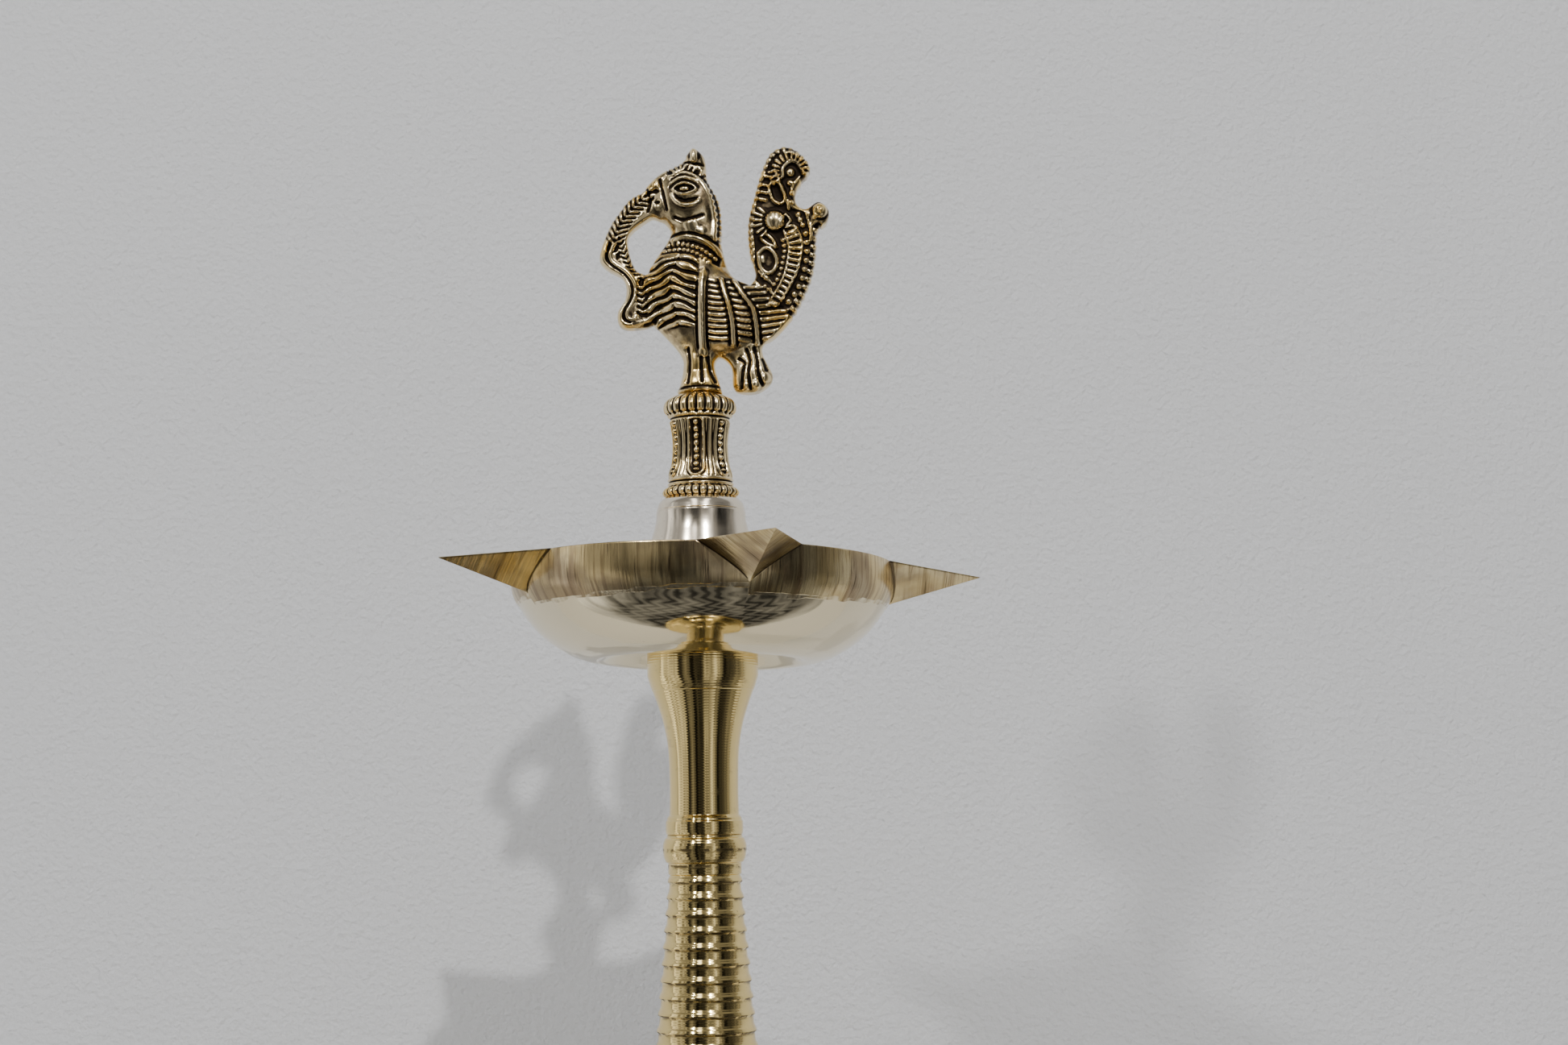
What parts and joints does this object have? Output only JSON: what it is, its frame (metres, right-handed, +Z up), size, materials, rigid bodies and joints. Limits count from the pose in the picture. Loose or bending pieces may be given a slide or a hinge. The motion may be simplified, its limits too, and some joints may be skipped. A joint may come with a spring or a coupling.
{
  "type": "brass standing oil lamp samai",
  "caption": "Standing oil lamp: a spouted oil bowl on a screwed-together turned stem, with a hollow bell foot below and a small peacock finial above.",
  "frame": {"origin": "on the lamp's axis, in the plane that the foot stands on", "axes": "+Z up along the stem; the peacock faces -X and shows its side to -Y"},
  "size_m": [0.16, 0.16, 0.4572],
  "materials": {
    "turned_brass": "lathe-turned and polished, fine tool lines",
    "bowl_brass": "pale polished brass with ground upper wall and spouts",
    "silvered_brass": "polished, silvery",
    "aged_brass": "cast relief, blackened recesses and rubbed bright edges",
    "stud_steel": "threaded steel rod"
  },
  "bodies": {
    "foot": {"foot": "turned_brass"},
    "foot_stud": {"foot_stud": "stud_steel"},
    "lower_stem": {"lower_stem": "turned_brass"},
    "stem_stud": {"stem_stud": "stud_steel"},
    "upper_stem": {"upper_stem": "turned_brass"},
    "neck_stud": {"neck_stud": "stud_steel"},
    "bowl": {"oil_bowl": "bowl_brass"},
    "sleeve": {"finial_sleeve": "silvered_brass", "finial_rod": "stud_steel"},
    "finial": {"finial_pedestal": "aged_brass", "peacock": "aged_brass"}
  },
  "joints": [
    {"name": "lower_stem_turn", "type": "hinge", "parent": "foot", "child": "foot_stud", "pos_m": [0, 0, 0.11], "axis": [0, 0, 1], "range_deg": [0, 2272]},
    {"name": "lower_stem_rise", "type": "slide", "parent": "foot_stud", "child": "lower_stem", "axis": [0, 0, 1], "range_m": [0, 0.01]},
    {"name": "upper_stem_turn", "type": "hinge", "parent": "lower_stem", "child": "stem_stud", "pos_m": [0, 0, 0.268], "axis": [0, 0, 1], "range_deg": [0, 2272]},
    {"name": "upper_stem_rise", "type": "slide", "parent": "stem_stud", "child": "upper_stem", "axis": [0, 0, 1], "range_m": [0, 0.01]},
    {"name": "bowl_turn", "type": "hinge", "parent": "upper_stem", "child": "neck_stud", "pos_m": [0, 0, 0.32], "axis": [0, 0, 1], "range_deg": [0, 2272]},
    {"name": "bowl_rise", "type": "slide", "parent": "neck_stud", "child": "bowl", "axis": [0, 0, 1], "range_m": [0, 0.01]},
    {"name": "finial_rise", "type": "slide", "parent": "bowl", "child": "sleeve", "axis": [0, 0, 1], "range_m": [0, 0.01]},
    {"name": "finial_turn", "type": "hinge", "parent": "sleeve", "child": "finial", "pos_m": [0, 0, 0.36], "axis": [0, 0, 1], "range_deg": [0, 2272]}
  ],
  "couplings": [
    {"joint": "lower_stem_turn", "follows": "lower_stem_rise", "rad_per_m": 3927},
    {"joint": "upper_stem_turn", "follows": "upper_stem_rise", "rad_per_m": 3927},
    {"joint": "bowl_turn", "follows": "bowl_rise", "rad_per_m": 3927},
    {"joint": "finial_turn", "follows": "finial_rise", "rad_per_m": 3927}
  ]
}
